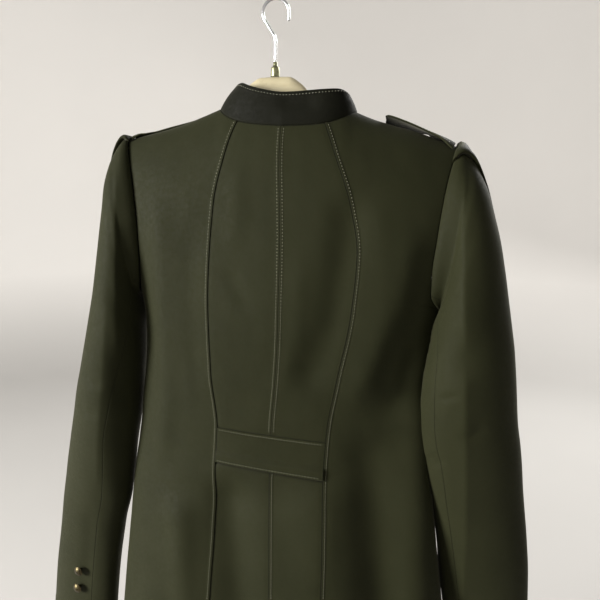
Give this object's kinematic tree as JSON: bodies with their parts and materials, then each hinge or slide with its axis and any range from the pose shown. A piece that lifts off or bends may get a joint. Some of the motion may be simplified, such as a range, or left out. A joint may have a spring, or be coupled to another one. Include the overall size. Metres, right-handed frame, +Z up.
{
  "type": "longline military jacket on a hanger",
  "caption": "Longline military jacket with stand collar, princess seams, half belt, epaulettes and two-piece sleeves, open at neck, hem and cuffs, hung on a shaped hanger with a wire hook.",
  "frame": {"origin": "inside top of the hanger's hook, where a rail carries it", "axes": "+Z up, +Y out of the jacket's back and -Y out of its buttoned front, +X to the wearer's left"},
  "size_m": [0.6594, 0.1573, 0.9924],
  "materials": {
    "cloth": "dark olive wool twill, smooth with a soft sheen",
    "buttons": "domed antique brass with worn tops",
    "hanger_wood": "cream lacquer over shaped wood",
    "hanger_collar": "dull pale brass collar under the hook",
    "hook_wire": "chromed steel wire"
  },
  "bodies": {
    "root": {"back_belt": "cloth", "back_centre_left": "cloth", "back_centre_right": "cloth", "back_side_left": "cloth", "back_side_right": "cloth", "back_skirt_left": "cloth", "back_skirt_right": "cloth", "collar": "cloth", "epaulette_left": "cloth", "epaulette_right": "cloth", "front_left": "cloth", "front_right": "cloth", "front_side_left": "cloth", "front_side_right": "cloth", "sleeve_under_left": "cloth", "sleeve_under_right": "cloth", "sleeve_upper_left": "cloth", "sleeve_upper_right": "cloth", "cuff_button_left_1": "buttons", "cuff_button_left_2": "buttons", "cuff_button_right_1": "buttons", "cuff_button_right_2": "buttons", "front_button_1": "buttons", "front_button_2": "buttons", "front_button_3": "buttons", "front_button_4": "buttons", "front_button_5": "buttons", "front_button_6": "buttons", "front_button_7": "buttons", "hanger_body": "hanger_wood", "hanger_neck": "hanger_collar", "hanger_hook": "hook_wire"}
  },
  "joints": []
}
